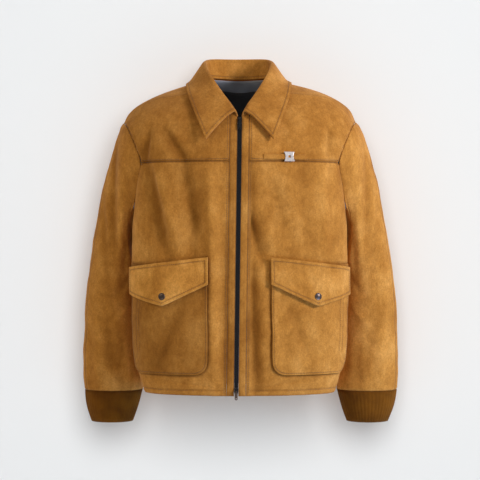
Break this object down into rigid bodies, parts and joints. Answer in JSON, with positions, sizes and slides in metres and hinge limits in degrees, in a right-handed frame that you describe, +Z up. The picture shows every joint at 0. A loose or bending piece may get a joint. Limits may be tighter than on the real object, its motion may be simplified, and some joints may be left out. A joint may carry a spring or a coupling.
{
  "type": "suede jacket",
  "caption": "Zip-front suede blouson with a turned-down collar, set-in sleeves, ribbed cuffs and flapped patch pockets, filled out as worn and hollow.",
  "frame": {"origin": "between the shoulders, at the height of the shoulder line, inside the neck", "axes": "+Z up, +X to the wearer's left, -Y to the front"},
  "size_m": [0.6857, 0.3002, 0.7914],
  "materials": {
    "suede": "matt nap",
    "rib_knit": "ribbed knit",
    "lining": "smooth lining",
    "label_cloth": "woven",
    "zip_tape": "woven tape",
    "dark_metal": "dark gunmetal",
    "bright_metal": "polished"
  },
  "bodies": {
    "jacket": {"back_panel": "suede", "front_left": "suede", "front_right": "suede", "front_yoke_left": "suede", "front_yoke_right": "suede", "sleeve_front_left": "suede", "sleeve_back_left": "suede", "sleeve_front_right": "suede", "sleeve_back_right": "suede", "collar": "suede", "pocket_left": "suede", "pocket_right": "suede", "pocket_flap_left": "suede", "pocket_flap_right": "suede", "chest_strap": "suede", "front_band_left": "suede", "front_band_right": "suede", "cuff_left": "rib_knit", "cuff_right": "rib_knit", "neck_lining": "lining", "neck_label": "label_cloth", "zip_tape_left": "zip_tape", "zip_tape_right": "zip_tape", "zip_chain": "dark_metal", "zip_slider_top": "dark_metal", "zip_slider_bottom": "dark_metal", "snap_cap_left": "dark_metal", "snap_cap_right": "dark_metal", "chest_keeper": "bright_metal"},
    "pull_top": {"zip_pull_top": "dark_metal"},
    "pull_bottom": {"zip_pull_bottom": "dark_metal"}
  },
  "joints": [
    {"name": "top_pull_hinge", "type": "hinge", "parent": "jacket", "child": "pull_top", "pos_m": [-0.00006, -0.11667, -0.07718], "axis": [-1, 0, 0], "range_deg": [0, 150]},
    {"name": "bottom_pull_hinge", "type": "hinge", "parent": "jacket", "child": "pull_bottom", "pos_m": [-0.00735, -0.14915, -0.63652], "axis": [-1, 0, 0], "range_deg": [0, 150]}
  ]
}
